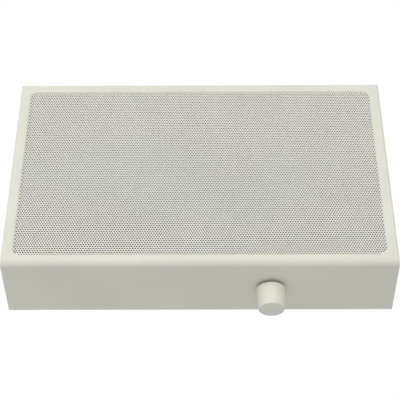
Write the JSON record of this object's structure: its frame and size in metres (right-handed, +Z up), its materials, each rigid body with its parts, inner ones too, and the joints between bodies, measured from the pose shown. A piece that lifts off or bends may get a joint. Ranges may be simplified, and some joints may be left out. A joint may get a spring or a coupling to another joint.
{
  "type": "wall speaker",
  "caption": "Flat moulded wall speaker with a perforated metal grille over its whole front, a volume knob under its lower wall, and keyholes and a cable pocket at the back.",
  "frame": {"origin": "centre of the rear face, which lies on the wall", "axes": "+X to the right seen from the front, +Y into the wall, +Z up; the front faces -Y and the knob is under the lower wall"},
  "size_m": [0.3096, 0.066, 0.207],
  "materials": {
    "cabinet_plastic": "satin off-white moulding with a fine spark texture",
    "knob_plastic": "satin off-white moulding",
    "cover_plastic": "off-white moulding with a coarser texture",
    "grille_paint": "satin off-white powder coat on perforated steel",
    "cloth": "black acoustic cloth",
    "board": "brown hardboard",
    "zinc_steel": "bright zinc plate",
    "shaft_steel": "turned steel",
    "gasket_foam": "closed-cell foam ring",
    "basket_paint": "grey electrocoat on pressed steel",
    "surround_rubber": "soft matt rubber",
    "cone_paper": "pressed black paper pulp",
    "spider_cloth": "resin-stiffened cloth",
    "copper_wire": "enamelled copper wire",
    "ferrite": "dull dark ferrite",
    "brass": "plain brass",
    "lamination_steel": "varnished laminations",
    "bobbin_plastic": "natural nylon",
    "terminal_plastic": "black moulding",
    "grommet_rubber": "black rubber",
    "red_insulation": "red wire insulation",
    "white_insulation": "white wire insulation",
    "black_insulation": "black wire insulation",
    "damping_foam": "grey felted wadding"
  },
  "bodies": {
    "cabinet": {"casing": "cabinet_plastic", "grille": "grille_paint", "grille_cloth": "cloth", "baffle": "board", "baffle_screws": "zinc_steel", "driver_gasket": "gasket_foam", "driver_basket": "basket_paint", "surround": "surround_rubber", "spider": "spider_cloth", "top_plate": "zinc_steel", "magnet": "ferrite", "pole_plate": "zinc_steel", "driver_terminals": "brass", "driver_screws": "zinc_steel", "transformer_core": "lamination_steel", "transformer_bobbin": "bobbin_plastic", "transformer_winding": "copper_wire", "transformer_frame": "zinc_steel", "transformer_screws": "zinc_steel", "control_body": "zinc_steel", "control_lugs": "brass", "control_washer": "zinc_steel", "control_nut": "zinc_steel", "rear_cover": "cover_plastic", "rear_screws": "zinc_steel", "terminal_block": "terminal_plastic", "terminal_screws": "brass", "grommet": "grommet_rubber", "feed_lead": "red_insulation", "volume_lead": "white_insulation", "driver_lead": "black_insulation", "damping_pad": "damping_foam"},
    "volume_knob": {"knob": "knob_plastic", "control_shaft": "shaft_steel"},
    "cone_assembly": {"cone": "cone_paper", "dust_cap": "cone_paper", "voice_coil": "copper_wire"}
  },
  "joints": [
    {"name": "knob_turn", "type": "hinge", "parent": "cabinet", "child": "volume_knob", "pos_m": [0.0555, -0.0335, -0.1], "axis": [0, 0, 1], "range_deg": [0, 300]},
    {"name": "cone_travel", "type": "slide", "parent": "cabinet", "child": "cone_assembly", "axis": [0, 1, 0], "range_m": [-0.0015, 0.0015], "stiffness_N_per_m": 900, "deforming": ["surround", "spider"]}
  ]
}
